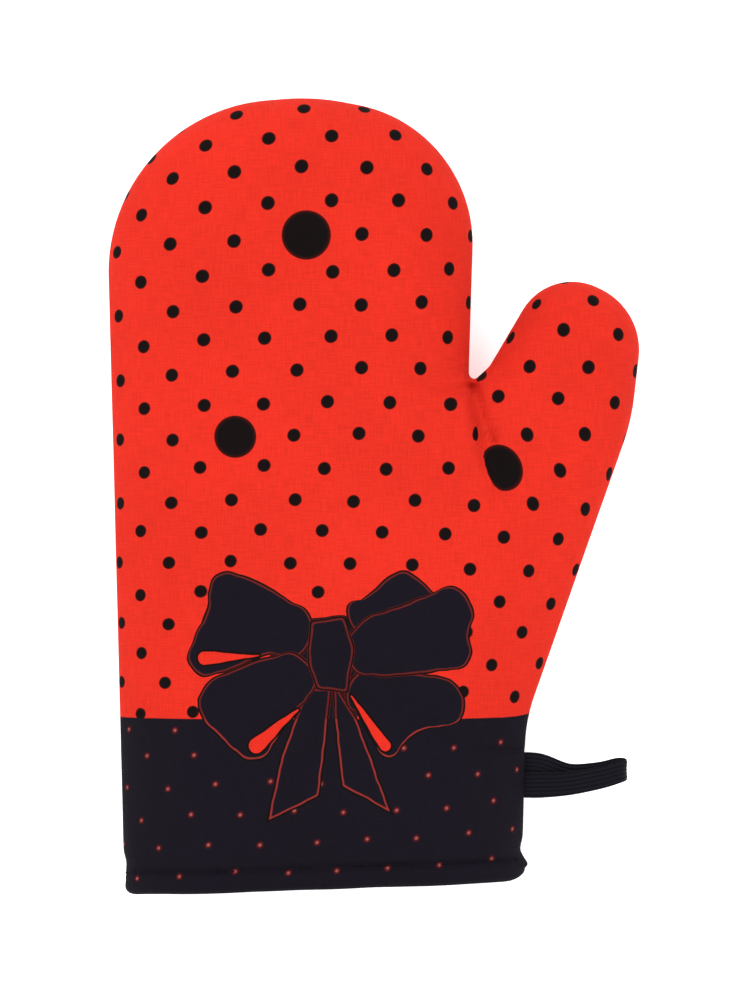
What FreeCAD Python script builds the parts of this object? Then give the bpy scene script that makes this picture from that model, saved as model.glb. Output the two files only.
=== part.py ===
import FreeCAD, Part
import math
import os
import re
import Sketcher

# A padded oven mitt, lying palm down. Millimetres. +Z is through the thickness, +Y runs from the mouth to
# the fingertips and +X is the thumb's side. The origin is under the middle of the mitt, on the surface that
# it lies on.
#
# A cotton shell, a layer of wadding and a cotton lining follow the same outline, each one further in than
# the last. Each has a back panel above the side seam's plane and a palm panel below it. A folded elastic
# tape comes out of the side seam as a hanging loop, and hinges there.

DOCUMENT = FreeCAD.newDocument("oven_mitt")
SHEET = DOCUMENT.addObject("Spreadsheet::Sheet", "sizes")

SIZES = (
    ("cuff_left", -87.3, "outline's left side, extended past the mouth"),
    ("cuff_right", 51.9, "outline's right side, extended past the mouth"),
    ("outline_foot", -156.0, "end of the outline, past the mouth, where the crown would close"),
    ("side_lean", 7.6, "corner over the little finger, further left than the cuff"),
    ("shoulder_left_drop", 6.0, "corner over the little finger, under the middle finger's corner"),
    ("shoulder_left_round", 60.0, "radius over the little finger"),
    ("fingertip_x", -21.1, "corner over the middle finger"),
    ("fingertip_y", 141.2, "corner over the middle finger"),
    ("fingertip_round", 110.0, "radius over the middle finger"),
    ("shoulder_right_x", 36.4, "corner over the first finger"),
    ("shoulder_right_drop", 10.9, "corner over the first finger, under the middle finger's corner"),
    ("shoulder_right_round", 49.0, "radius over the first finger"),
    ("finger_root_x", 34.0, "hand's side behind the thumb"),
    ("finger_root_y", 22.0, "hand's side behind the thumb"),
    ("finger_root_round", 60.0, "radius of that bend"),
    ("wrist_x", 53.6, "wrist on the thumb's side"),
    ("wrist_y", -84.0, "wrist on the thumb's side"),
    ("wrist_round", 60.0, "radius at the wrist"),
    ("thumb_inner_x", 61.6, "corner of the thumb's tip nearer the fingers"),
    ("thumb_inner_y", 82.0, "corner of the thumb's tip nearer the fingers"),
    ("thumb_inner_round", 20.5, "radius of that corner"),
    ("thumb_outer_x", 95.4, "corner of the thumb's tip further from the fingers"),
    ("thumb_outer_y", 66.3, "corner of the thumb's tip further from the fingers"),
    ("thumb_outer_round", 24.0, "radius of that corner"),
    ("thumb_side_x", 90.9, "bend in the thumb's outer side"),
    ("thumb_side_y", 27.1, "bend in the thumb's outer side"),
    ("thumb_side_round", 80.0, "radius of that bend"),
    ("thumb_heel_x", 46.2, "hidden end of the thumb's outer side, inside the wrist"),
    ("thumb_heel_y", -100.0, "hidden end of the thumb's outer side, inside the wrist"),
    ("thumb_root_x", 5.0, "hidden end of the thumb pocket, inside the hand"),
    ("thumb_root_y", -12.0, "hidden end of the thumb pocket, inside the hand"),
    ("thumb_root_width", 20.0, "how far the hidden end is from that line's foot, across"),
    ("seam_height", 16.0, "side seam's height over the table, and the palm side's depth"),
    ("back_rise", 20.0, "back's height over the seam"),
    ("thumb_rise", 14.5, "thumb's height over the seam"),
    ("thumb_drop", 12.5, "thumb's depth under the seam"),
    ("back_run", 34.0, "distance from the seam to the back's full height"),
    ("palm_run", 26.0, "distance from the seam to the palm's full depth"),
    ("thumb_run", 12.0, "distance from the seam to the thumb's full height"),
    ("shell_cloth", 0.6, "printed cotton, with its backing"),
    ("wadding_thick", 4.5, "wadding, each side"),
    ("lining_cloth", 0.5, "lining cotton"),
    ("allowance", 3.8, "shell's seam allowance, in from the cloth"),
    ("thread", 0.5, "sewing thread, as laid in a lockstitch"),
    ("hem_middle_y", -137.05, "mouth's edge on the centre line"),
    ("hem_slope", 0.035, "rise of the mouth's edge to the thumb's side, for each millimetre across"),
    ("hem_depth", 8.0, "mouth's edge to the row of stitches"),
    ("hem_turning", 12.0, "cloth turned in at the mouth"),
    ("tape_thick", 1.2, "ribbed elastic tape"),
    ("loop_stand", 0.3, "free loop, out from the wrist's corner"),
    ("hinge_clearance", 0.4, "free loop to the tails that are sewn in"),
    ("loop_neck", 5.0, "stretch of the loop where its two legs lie together"),
    ("loop_length", 35.3, "free loop, root to the fold at its far end"),
    ("loop_gap", 5.4, "space inside the loop"),
    ("loop_waist", 19.1, "free loop, root to where its outline is narrowest"),
    ("loop_root_top", -89.7, "upper edge of the tape at the seam"),
    ("loop_root_foot", -105.9, "lower edge of the tape at the seam"),
    ("loop_waist_top", -94.6, "upper edge of the tape at the waist"),
    ("loop_waist_foot", -102.2, "lower edge of the tape at the waist"),
    ("loop_tip_top", -93.9, "upper edge of the tape at the tip"),
    ("loop_tip_foot", -100.6, "lower edge of the tape at the tip"),
    ("tack_inset", 2.4, "bar tack, in from the side seam's edge"),
)

ALIASES = {alias for alias, value, meaning in SIZES}

# Shares of a crown's run at which its sections stand. Between them the side is a quarter of an ellipse.
BACK_AND_PALM_SHARES = (0.0, 1.0 / 6.0, 0.5, 1.0)
THUMB_SHARES = (0.0, 0.4, 1.0)

# Reach of the cutting slabs, past anything in the mitt.
FAR = 200.0


def fill_sheet():
    """Names in column A, plain numbers in column B with their aliases, and what each one is in column C."""
    for row, (alias, value, meaning) in enumerate(SIZES, start=1):
        SHEET.set("A%d" % row, alias)
        SHEET.set("B%d" % row, repr(value))
        SHEET.set("C%d" % row, meaning)
        SHEET.setAlias("B%d" % row, alias)
    DOCUMENT.recompute()


def size(text):
    """Turn the aliases in an expression into references to the sheet."""
    return re.sub("[a-z_]+", refer_to_sheet, text)


def refer_to_sheet(word):
    return "sizes." + word.group() if word.group() in ALIASES else word.group()


def number(text):
    return float(SHEET.evalExpression(size(text)))


def outline(name, corners, placement=None):
    """Closed sketch of straight sides. A corner is (x, y), or (x, y, radius) for a rounded one.

    Each corner stays at its two sizes, and each arc stays tangent to both of its sides.
    """
    sketch = DOCUMENT.addObject("Sketcher::SketchObject", name)
    if placement:
        sketch.Placement = placement
    points = [FreeCAD.Vector(number(corner[0]), number(corner[1]), 0) for corner in corners]
    starts = []
    ends = []
    centres = []
    for index, corner in enumerate(corners):
        here = points[index]
        back = (points[index - 1] - here).normalize()
        on = (points[(index + 1) % len(points)] - here).normalize()
        radius = number(corner[2]) if len(corner) == 3 else 0.0
        half = back.getAngle(on) / 2
        starts.append(here + back * (radius / math.tan(half)))
        ends.append(here + on * (radius / math.tan(half)))
        centres.append(here + (back + on).normalize() * (radius / math.sin(half)))
    sides = []
    for index in range(len(corners)):
        side = Part.LineSegment(ends[index], starts[(index + 1) % len(corners)])
        sides.append(sketch.addGeometry(side, False))
    for index, corner in enumerate(corners):
        before = sides[index - 1]
        after = sides[index]
        if len(corner) == 2:
            sketch.addConstraint(Sketcher.Constraint("Coincident", before, 2, after, 1))
            held = after
        else:
            held = sketch.addGeometry(Part.Point(points[index]), True)
            sketch.addConstraint(Sketcher.Constraint("PointOnObject", held, 1, before))
            sketch.addConstraint(Sketcher.Constraint("PointOnObject", held, 1, after))
            round_corner(sketch, corner[2], before, after, starts[index], ends[index], centres[index])
        across = sketch.addConstraint(Sketcher.Constraint("DistanceX", -1, 1, held, 1, points[index].x))
        sketch.setExpression("Constraints[%d]" % across, size(corner[0]))
        along = sketch.addConstraint(Sketcher.Constraint("DistanceY", -1, 1, held, 1, points[index].y))
        sketch.setExpression("Constraints[%d]" % along, size(corner[1]))
    return sketch


def round_corner(sketch, radius, before, after, start, end, centre):
    """Add the arc between two sides, tangent to both, with its radius held to the sheet."""
    towards_start = start - centre
    towards_end = end - centre
    from_angle = math.atan2(towards_start.y, towards_start.x)
    to_angle = math.atan2(towards_end.y, towards_end.x)
    turns_left = towards_start.cross(towards_end).z > 0
    if not turns_left:
        from_angle, to_angle = to_angle, from_angle
    circle = Part.Circle(centre, FreeCAD.Vector(0, 0, 1), number(radius))
    arc = sketch.addGeometry(Part.ArcOfCircle(circle, from_angle, to_angle), False)
    first, last = (1, 2) if turns_left else (2, 1)
    sketch.addConstraint(Sketcher.Constraint("Tangent", before, 2, arc, first))
    sketch.addConstraint(Sketcher.Constraint("Tangent", after, 1, arc, last))
    held = sketch.addConstraint(Sketcher.Constraint("Radius", arc, number(radius)))
    sketch.setExpression("Constraints[%d]" % held, size(radius))


def inset_outline(name, source, inset, height):
    """Copy of an outline, further in by inset and at a height over the table."""
    if number(inset) == 0:
        ring = DOCUMENT.addObject("Part::Compound", name)
        ring.Links = [source]
    else:
        ring = DOCUMENT.addObject("Part::Offset2D", name)
        ring.Source = source
        ring.Join = "Intersection"
        ring.setExpression("Value", size("-( " + inset + " )"))
    ring.setExpression(".Placement.Base.z", size(height))
    return ring


def crown(name, source, inset, run, depth, side, shares):
    """Half of a pillow, from the seam's plane up (side +1) or down (side -1).

    At each share of the run from the edge, its height is the depth times sqrt(1 - (1 - share)^2), which
    is a quarter of an ellipse.
    """
    sections = []
    for step, share in enumerate(shares):
        lift = side * math.sqrt(1 - (1 - share) ** 2)
        ring_inset = "( %s ) + %r * %s" % (inset, share, run) if share else inset
        height = "seam_height + %r * ( %s - ( %s ) )" % (lift, depth, inset)
        ring = inset_outline("%s_section_%d" % (name, step), source, ring_inset, height)
        sections.append(ring)
    loft = DOCUMENT.addObject("Part::Loft", name)
    loft.Sections = sections
    loft.Solid = True
    loft.Ruled = True
    return loft


def fuse(name, shapes):
    joined = DOCUMENT.addObject("Part::MultiFuse", name)
    joined.Shapes = shapes
    return joined


def common(name, shapes):
    shared = DOCUMENT.addObject("Part::MultiCommon", name)
    shared.Shapes = shapes
    return shared


def cut(name, base, tool):
    left = DOCUMENT.addObject("Part::Cut", name)
    left.Base = base
    left.Tool = tool
    return left


def pillow(name, inset, side):
    """Back (side +1) or palm (side -1) of a solid mitt with its thumb, its surface further in by inset."""
    hand_run, hand_depth, thumb_depth = (
        ("back_run", "back_rise", "thumb_rise") if side > 0 else ("palm_run", "seam_height", "thumb_drop")
    )
    hand = crown(name + "_hand", HAND, inset, hand_run, hand_depth, side, BACK_AND_PALM_SHARES)
    thumb = crown(name + "_thumb", THUMB, inset, "thumb_run", thumb_depth, side, THUMB_SHARES)
    return fuse(name, [hand, thumb])


def slab(name, sketch, below, above, direction=(0, 0, 1)):
    """Prism on a sketch, from one distance below its plane to another above it, along a direction."""
    prism = DOCUMENT.addObject("Part::Extrusion", name)
    prism.Base = sketch
    prism.DirMode = "Custom"
    prism.Dir = FreeCAD.Vector(*direction)
    prism.setExpression("LengthFwd", size(above))
    prism.setExpression("LengthRev", size(below))
    prism.Solid = True
    return prism


def past_hem(name, distance):
    """Everything on the mouth's side of a line parallel to the mouth's edge, a distance into the mitt."""
    edge = "hem_middle_y + ( " + distance + " )"
    corners = (
        ("-%r" % FAR, "%s - %r * hem_slope" % (edge, FAR)),
        ("-%r" % FAR, "hem_middle_y - %r" % FAR),
        ("%r" % FAR, "hem_middle_y - %r" % FAR),
        ("%r" % FAR, "%s + %r * hem_slope" % (edge, FAR)),
    )
    return slab(name, outline(name + "_line", corners), repr(FAR), repr(FAR))


def seam_ring(name, outer, inner, below, above):
    """Flat ring along the seam, between two insets, from below the seam's plane to above it."""
    plates = []
    for edge, inset in (("outer", outer), ("inner", inner)):
        pockets = []
        for pocket, sketch in (("hand", HAND), ("thumb", THUMB)):
            label = "%s_%s_%s" % (name, edge, pocket)
            wire = inset_outline(label + "_wire", sketch, inset, "seam_height")
            pockets.append(slab(label, wire, below, above))
        plates.append(fuse("%s_%s" % (name, edge), pockets))
    return cut(name, plates[0], plates[1])


def name_node(shape, label):
    shape.Label = label
    NODES.append(shape)
    return shape


def tape_plan(name, left, right, margin):
    """Rectangle across the tape where it passes the side seam, in the seam's plane."""
    sketch = outline(name, (
        (left, "loop_root_foot + " + margin),
        (right, "loop_root_foot + " + margin),
        (right, "loop_root_top - " + margin),
        (left, "loop_root_top - " + margin),
    ))
    sketch.setExpression(".Placement.Base.z", size("seam_height"))
    return sketch


def make_tails():
    """The tape's two ends, one on the other, sewn in between the shell panels."""
    plan = tape_plan("tail_plan", "wrist_x - shell_cloth - allowance", LOOP_ROOT + " - hinge_clearance", "0")
    return name_node(slab("tape_tails", plan, "tape_thick", "tape_thick"), "loop_tails")


def make_bar_tack_block():
    """Block of thread through the tails and both seam allowances."""
    plan = tape_plan("tack_plan", "wrist_x - tack_inset - thread", "wrist_x - tack_inset", "thread")
    half = "tape_thick + shell_cloth"
    return slab("tack_bar", plan, half, half)


def panel_faces(side, panel):
    """Solid mitts whose surfaces are the layers' faces, from the outside in."""
    insets = {
        "outside": SHELL_FACE,
        "behind_shell": WADDING_FACE,
        "behind_wadding": LINING_FACE,
        "cavity": CAVITY_FACE,
        "turned_cavity": TURNING_FACE,
        "under_stitch": "thread",
    }
    return {face: pillow("%s_%s" % (face, panel), inset, side) for face, inset in insets.items()}


def allowance_ring(side, panel):
    """Shell's seam allowance: it stands in from the cloth, on the panel's own side of the seam's plane."""
    below = "0" if side > 0 else "shell_cloth"
    above = "shell_cloth" if side > 0 else "0"
    return seam_ring("allowance_" + panel, "shell_cloth", "shell_cloth + allowance", below, above)


def make_wadding(panel, faces, ring, filling):
    """Fills what the shell and the lining leave, up to the mouth's turned edge."""
    batt = cut("batt_" + panel, filling, faces["behind_wadding"])
    clear = fuse("kept_clear_" + panel, [ring, TAILS, TACK_BLOCK])
    return name_node(cut("wadding_piece_" + panel, batt, clear), "wadding_" + panel)


def make_lining(panel, faces, bag):
    """Inner cloth, up to the mouth's turned edge."""
    return name_node(cut("lining_piece_" + panel, bag, faces["cavity"]), "lining_" + panel)


def make_shell(panel, faces, ring, filling, bag):
    """The cloth outside the filling, its seam allowance, and the turning that lies inside the lining."""
    inside = fuse("inside_" + panel, [filling, bag])
    hollow = cut("shell_cloth_" + panel, faces["outside"], inside)
    open_parts = fuse("open_parts_" + panel, [faces["cavity"], BEYOND_MOUTH])
    open_shell = cut("open_shell_" + panel, hollow, open_parts)
    turning_ring = cut("turning_ring_" + panel, faces["cavity"], faces["turned_cavity"])
    turning = common("turning_" + panel, [turning_ring, BEYOND_TURNING])
    trimmed_turning = cut("trimmed_turning_" + panel, turning, BEYOND_MOUTH)
    trimmed_ring = cut("trimmed_allowance_" + panel, ring, BEYOND_FILLING)
    whole = fuse("whole_shell_" + panel, [open_shell, trimmed_turning, trimmed_ring])
    return name_node(cut("shell_piece_" + panel, whole, TAILS), "shell_" + panel)


def stitch_row(panel, faces):
    """One panel's part of the row of stitches that holds the turning, flush in the shell's outer face."""
    face = cut("stitched_face_" + panel, faces["outside"], faces["under_stitch"])
    band = common("stitch_band_" + panel, [face, past_hem("stitch_start_" + panel, "hem_depth")])
    return cut("stitch_row_" + panel, band, past_hem("stitch_end_" + panel, "hem_depth - thread"))


def make_shell_seam_thread():
    """Lockstitches through both seam allowances, except where the tape passes."""
    row = seam_ring("shell_row", SHELL_ROW, SHELL_ROW + " + thread", "thread / 2", "thread / 2")
    stops = fuse("shell_row_stops", [BEYOND_FILLING, TAILS])
    return name_node(cut("shell_row_clear", row, stops), "shell_seam_thread")


def make_lining_seam_thread():
    """The lining's finer stitches, which stay inside its thin cloth."""
    outer = LINING_FACE + " + 0.4 * lining_cloth"
    row = seam_ring("lining_row", outer, CAVITY_FACE, "thread / 4", "thread / 4")
    return name_node(cut("lining_row_clear", row, BEYOND_FILLING), "lining_seam_thread")


def make_hanging_loop():
    """Teardrop of tape seen from its edge, cut to the tape's outline seen from above.

    Its root is a half cylinder about the hinge's axis, so it stays clear of the side seam as it turns.
    """
    edge_on = FreeCAD.Placement(FreeCAD.Vector(0, 0, 0), FreeCAD.Rotation(FreeCAD.Vector(1, 0, 0), 90))
    half = "( loop_gap / 2 + tape_thick )"
    neck = LOOP_ROOT + " + loop_neck"
    waist = LOOP_ROOT + " + loop_waist"
    tip = LOOP_ROOT + " + loop_length"
    outer = outline("loop_outer", (
        (LOOP_ROOT, "-tape_thick", "tape_thick * 0.98"),
        (neck, "-tape_thick", "tape_thick * 6"),
        (waist, "-" + half, "tape_thick * 10"),
        (tip, "-" + half, half + " * 0.98"),
        (tip, half, half + " * 0.98"),
        (waist, half, "tape_thick * 10"),
        (neck, "tape_thick", "tape_thick * 6"),
        (LOOP_ROOT, "tape_thick", "tape_thick * 0.98"),
    ), edge_on)
    inner = outline("loop_inner", (
        (neck, "0"),
        (waist, "-loop_gap / 2", "tape_thick * 8"),
        (tip + " - tape_thick", "-loop_gap / 2", "loop_gap * 0.48"),
        (tip + " - tape_thick", "loop_gap / 2", "loop_gap * 0.48"),
        (waist, "loop_gap / 2", "tape_thick * 8"),
    ), edge_on)
    tapes = []
    for name, sketch in (("outer_tear", outer), ("inner_tear", inner)):
        sketch.setExpression(".Placement.Base.z", size("seam_height"))
        tapes.append(slab(name, sketch, repr(FAR), repr(FAR), (0, -1, 0)))
    plan = outline("loop_plan", (
        (LOOP_ROOT + " - 1", "loop_root_foot"),
        (LOOP_ROOT, "loop_root_foot"),
        (waist, "loop_waist_foot"),
        (tip + " + 1", "loop_tip_foot"),
        (tip + " + 1", "loop_tip_top"),
        (waist, "loop_waist_top"),
        (LOOP_ROOT, "loop_root_top"),
        (LOOP_ROOT + " - 1", "loop_root_top"),
    ))
    trim = slab("loop_plan_slab", plan, repr(FAR), repr(FAR))
    return name_node(common("loop_tape", [cut("tear_ring", *tapes), trim]), "hanging_loop")


def check_document():
    """Stop on anything that wasn't computed, and on a node with no sound shape."""
    DOCUMENT.recompute()
    for item in DOCUMENT.Objects:
        if "Invalid" in item.State or "Error" in item.State:
            raise RuntimeError("not computed: " + item.Name)
    for node in NODES:
        if node.Shape.isNull() or not node.Shape.isValid():
            raise RuntimeError("bad shape: " + node.Label)


def write_nodes():
    os.makedirs("parts", exist_ok=True)
    for node in NODES:
        node.Shape.exportStep("parts/%s.step" % node.Label)
        print("%-20s %d solid(s) %10.1f mm3" % (node.Label, len(node.Shape.Solids), node.Shape.Volume))


NODES = []
fill_sheet()

HAND = outline("hand_outline", (
    ("cuff_left", "outline_foot"),
    ("cuff_left - side_lean", "fingertip_y - shoulder_left_drop", "shoulder_left_round"),
    ("fingertip_x", "fingertip_y", "fingertip_round"),
    ("shoulder_right_x", "fingertip_y - shoulder_right_drop", "shoulder_right_round"),
    ("finger_root_x", "finger_root_y", "finger_root_round"),
    ("wrist_x", "wrist_y", "wrist_round"),
    ("cuff_right", "outline_foot"),
))

THUMB = outline("thumb_outline", (
    ("thumb_inner_x", "thumb_inner_y", "thumb_inner_round"),
    ("thumb_outer_x", "thumb_outer_y", "thumb_outer_round"),
    ("thumb_side_x", "thumb_side_y", "thumb_side_round"),
    ("thumb_heel_x", "thumb_heel_y"),
    ("thumb_root_x + thumb_root_width", "thumb_heel_y"),
    ("thumb_root_x", "thumb_root_y"),
))

# Insets of the layers' faces from the mitt's outside, and of the shell's seam.
SHELL_FACE = "0"
WADDING_FACE = "shell_cloth"
LINING_FACE = "shell_cloth + wadding_thick"
CAVITY_FACE = "shell_cloth + wadding_thick + lining_cloth"
TURNING_FACE = "shell_cloth + wadding_thick + lining_cloth + shell_cloth"
SHELL_ROW = "shell_cloth + allowance / 4"

# Where the free loop begins, just outside the side seam.
LOOP_ROOT = "wrist_x + loop_stand"

TAILS = make_tails()
TACK_BLOCK = make_bar_tack_block()
name_node(cut("tack_over_tails", TACK_BLOCK, TAILS), "loop_bar_tack")

BEYOND_MOUTH = past_hem("beyond_mouth", "0")
BEYOND_FILLING = past_hem("beyond_filling", "shell_cloth")
BEYOND_TURNING = past_hem("beyond_turning", "hem_turning")

stitch_rows = []
for side, panel in ((1, "back"), (-1, "palm")):
    faces = panel_faces(side, panel)
    ring = allowance_ring(side, panel)
    filling = cut("filling_" + panel, faces["behind_shell"], BEYOND_FILLING)
    bag = cut("bag_" + panel, faces["behind_wadding"], BEYOND_FILLING)
    make_shell(panel, faces, ring, filling, bag)
    make_wadding(panel, faces, ring, filling)
    make_lining(panel, faces, bag)
    stitch_rows.append(stitch_row(panel, faces))
name_node(fuse("hem_stitch_ring", stitch_rows), "hem_topstitch")
make_shell_seam_thread()
make_lining_seam_thread()
make_hanging_loop()

check_document()
write_nodes()
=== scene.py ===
import math

import bmesh
import bpy
import numpy as np
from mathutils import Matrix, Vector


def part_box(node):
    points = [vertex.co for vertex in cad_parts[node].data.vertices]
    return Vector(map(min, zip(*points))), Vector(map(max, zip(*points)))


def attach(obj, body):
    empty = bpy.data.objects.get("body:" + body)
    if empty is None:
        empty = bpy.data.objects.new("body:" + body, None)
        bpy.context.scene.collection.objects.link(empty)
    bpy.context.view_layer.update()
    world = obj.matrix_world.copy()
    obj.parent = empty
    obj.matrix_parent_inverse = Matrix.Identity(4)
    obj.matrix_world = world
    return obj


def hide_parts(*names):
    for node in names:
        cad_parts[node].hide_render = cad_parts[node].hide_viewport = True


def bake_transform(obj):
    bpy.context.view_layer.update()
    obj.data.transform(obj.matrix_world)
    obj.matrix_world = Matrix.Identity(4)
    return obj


# A padded oven mitt, lying palm down: printed cotton shell, wadding and cotton lining, each with a back and a
# palm panel, the threads that join them, and a loop of ribbed elastic tape at the wrist. Sizes are in
# millimetres, and each mesh is put into the scene in metres.

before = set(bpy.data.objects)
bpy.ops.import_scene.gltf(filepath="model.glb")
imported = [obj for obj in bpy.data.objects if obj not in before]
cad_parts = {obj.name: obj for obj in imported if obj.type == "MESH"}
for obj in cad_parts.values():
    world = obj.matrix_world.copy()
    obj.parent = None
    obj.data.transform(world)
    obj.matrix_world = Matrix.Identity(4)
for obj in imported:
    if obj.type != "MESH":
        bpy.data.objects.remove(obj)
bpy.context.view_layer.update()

MM = 0.001
TURN = 2 * math.pi

# The seam's outline: corner x, corner y and its radius, from the left of the mouth round to its right.
OUTLINE = (
    (-87.3, -156.0, 0.0),
    (-94.9, 135.2, 61.0),
    (-21.1, 141.2, 80.0),
    (36.4, 130.3, 50.0),
    (33.6, 39.6, 1.6),
    (40.6, 46.3, 7.0),
    (61.6, 82.0, 20.5),
    (95.4, 66.3, 24.0),
    (90.9, 27.1, 80.0),
    (53.7, -78.6, 60.0),
    (51.9, -156.0, 0.0),
)
CROTCH = np.array((34.3, 38.4))
THUMB_WAY = np.array((0.649, 0.761))
THUMB_INNER_SIDE = np.array((0.857, -0.515))

# Where the stations begin on the seam, where their threads run to in the middle of the panel, how many there
# are, and the power by which the middle's points crowd towards their far end.
SPANS = (
    ((-87.7, -140.1), (-17.0, -137.65), 104, 1.0),
    ((-91.0, -18.0), (14.0, -18.0), 136, 3.0),
    ((-28.0, 140.4), (-28.0, 82.0), 136, -3.0),
    ((34.3, 38.4), (14.0, -18.0), 88, 2.5),
    ((84.0, 84.5), (72.0, 50.0), 88, -2.5),
    ((66.0, -43.0), (14.0, -18.0), 104, 1.0),
    ((52.4, -135.2), (-17.0, -137.65), 0, 1.0),
)
ROWS = 42
CROWDING = 2.2

SEAM_HEIGHT = 16.0
HEM_MIDDLE = -137.05
HEM_SLOPE = 0.035
HEM_DEPTH = 8.0
TURNING = 12.0
FOLD_ROUND = 2.9
SHELL_CLOTH = 0.5
LINING_CLOTH = 0.4
SEAM_CLEARANCE = 0.7
LINING_INSET = 5.3
ALLOWANCE = 3.8
WELD = 0.004
TOP_LIMIT = 38.0
FILL_LIMIT = 1.4
CAMERA_RISE = 1954.4


# ---- plain shapes in numpy


def smooth(share):
    """Zero to one with level ends: 3 s squared less 2 s cubed."""
    share = np.clip(share, 0.0, 1.0)
    return share * share * (3 - 2 * share)


def unit(vectors):
    """Vectors of length one, along the last axis."""
    return vectors / np.maximum(np.linalg.norm(vectors, axis=-1, keepdims=True), 1e-9)


def length_along(line):
    """Distance from a line's first point to each of its points."""
    steps = np.linalg.norm(np.diff(line, axis=0), axis=1)
    return np.concatenate([[0.0], np.cumsum(steps)])


def at_lengths(line, lengths):
    """Points of a line at the given distances along it."""
    along = length_along(line)
    return np.stack([np.interp(lengths, along, column) for column in line.T], axis=1)


def rounded_line(corners, step):
    """Straight sides joined by arcs that touch them, cut at even steps.

    An arc of radius r in a corner whose half angle is h begins r / tan h from the corner, about a centre
    r / sin h from it.
    """
    table = np.array(corners)
    places = table[:, :2]
    parts = [places[:1]]
    for before, corner, after, radius in zip(places, places[1:], places[2:], table[1:, 2]):
        back = unit(before - corner)
        on = unit(after - corner)
        half = np.arccos(back @ on) / 2
        start = corner + back * radius / np.tan(half)
        centre = corner + unit(back + on) * radius / np.sin(half)
        way = np.sign(back[1] * on[0] - back[0] * on[1])
        first = np.arctan2(*(start - centre)[::-1])
        angles = first + way * (np.pi - 2 * half) * np.linspace(0, 1, 60)
        parts.append(centre + radius * np.stack([np.cos(angles), np.sin(angles)], axis=1))
    parts.append(places[-1:])
    line = np.vstack(parts)
    whole = length_along(line)[-1]
    return at_lengths(line, np.linspace(0, whole, int(whole / step)))


def soft_line(points, shares):
    """Catmull-Rom curve through points, at shares from 0 to 1: each span is the cubic whose slope at a
    point is half the step between that point's neighbours."""
    points = np.asarray(points, float)
    held = np.vstack([2 * points[0] - points[1], points, 2 * points[-1] - points[-2]])
    place = np.clip(shares, 0, 1) * (len(points) - 1)
    span = np.minimum(place.astype(int), len(points) - 2)
    t = (place - span)[:, None]
    a, b, c, d = (held[span + k] for k in range(4))
    return 0.5 * (2 * b + (c - a) * t + (2 * a - 5 * b + 4 * c - d) * t**2 + (3 * b - a - 3 * c + d) * t**3)


def inward_normals(line):
    """Directions in plan square to a line, to the right of its run, which is the mitt's inside."""
    run = unit(np.gradient(line, axis=0))
    return np.stack([run[:, 1], -run[:, 0]], axis=1)


def nearest_on(line, points):
    """The closest place on a line of straight pieces to each point, and the line's inward normal there."""
    begins = line[:-1]
    runs = np.diff(line, axis=0)
    squares = (runs**2).sum(axis=1)
    normals = inward_normals(line)
    found, square = [], []
    for some in np.array_split(points, max(1, len(points) // 3000)):
        apart = some[:, None] - begins
        shares = np.clip((apart * runs).sum(axis=2) / squares, 0, 1)
        feet = begins + shares[..., None] * runs
        gaps = ((some[:, None] - feet) ** 2).sum(axis=2)
        picked = gaps.argmin(axis=1)
        own = np.arange(len(some))
        share = shares[own, picked][:, None]
        found.append(feet[own, picked])
        square.append(unit(normals[picked] * (1 - share) + normals[picked + 1] * share))
    return np.vstack(found), np.vstack(square)


def grid_faces(rows, columns, closed=False):
    """Four-sided faces of a grid of points held row by row. Closed joins the last column to the first."""
    numbers = np.arange(rows * columns).reshape(rows, columns)
    if closed:
        numbers = np.hstack([numbers, numbers[:, :1]])
    corners = (numbers[:-1, :-1], numbers[1:, :-1], numbers[1:, 1:], numbers[:-1, 1:])
    return np.stack(corners, axis=-1).reshape(-1, 4)


def placed(name, data):
    """A new object in the scene, at the origin."""
    made = bpy.data.objects.new(name, data)
    bpy.context.scene.collection.objects.link(made)
    return made


def make_piece(name, points, faces, body, material, uv=None, weld=0.0):
    """Puts points, in millimetres, and faces into a new mesh object that rides on a body."""
    mesh = bpy.data.meshes.new(name)
    points = np.asarray(points, float).reshape(-1, 3)
    faces = np.asarray(faces)
    mesh.from_pydata(points * MM, [], faces.tolist())
    if uv is not None:
        layer = mesh.uv_layers.new(name="cloth")
        order = np.zeros(len(mesh.loops), np.int32)
        mesh.loops.foreach_get("vertex_index", order)
        flat = np.asarray(uv, float).reshape(-1, 2)[order] * MM
        layer.data.foreach_set("uv", flat.astype(np.float32).ravel())
    if weld:
        work = bmesh.new()
        work.from_mesh(mesh)
        bmesh.ops.remove_doubles(work, verts=work.verts, dist=weld * MM)
        bmesh.ops.dissolve_degenerate(work, edges=work.edges, dist=1e-7)
        work.to_mesh(mesh)
        work.free()
    mesh.polygons.foreach_set("use_smooth", np.ones(len(mesh.polygons), bool))
    mesh.update()
    piece = placed(name, mesh)
    mesh.materials.append(material)
    if body:
        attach(piece, body)
    return piece


# ---- the mitt's plan


def fitted(line):
    """Stretches the outline so that its box is the CAD shell's box in plan."""
    low, high = (np.array(corner)[:2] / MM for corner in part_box("shell_back"))
    kept = line[line[:, 1] > hem_edge(line[:, 0])]
    own_low, own_high = kept.min(axis=0), kept.max(axis=0)
    return low + (line - own_low) * (high - low) / (own_high - own_low)


def hem_edge(x):
    """Mouth's edge: a straight line that rises to the thumb's side."""
    return HEM_MIDDLE + HEM_SLOPE * x


SEAM = fitted(rounded_line(OUTLINE, 0.5))
COARSE_SEAM = SEAM[::2]


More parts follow.
